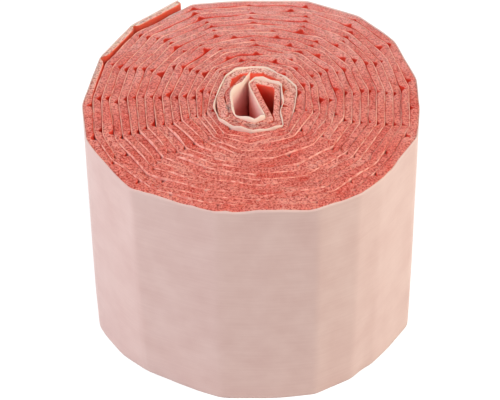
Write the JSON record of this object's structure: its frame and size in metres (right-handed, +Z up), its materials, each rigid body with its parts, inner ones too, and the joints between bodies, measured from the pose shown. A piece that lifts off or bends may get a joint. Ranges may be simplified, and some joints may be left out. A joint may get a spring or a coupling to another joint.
{
  "type": "insulation roll",
  "caption": "Roll of soft foam insulation strip with a thin pale facing film, wound tightly without a core tube, standing on end with its cut tail lifting loose.",
  "frame": {"origin": "middle of the roll's outline, on the end that it stands on", "axes": "+Z up along the roll's axis, -Y towards the picture's camera, +X to that camera's right"},
  "size_m": [0.1274, 0.125, 0.1],
  "materials": {
    "foam": "matte",
    "film": "satin"
  },
  "bodies": {
    "root": {"foam_strip": "foam", "facing_film": "film"}
  },
  "joints": []
}
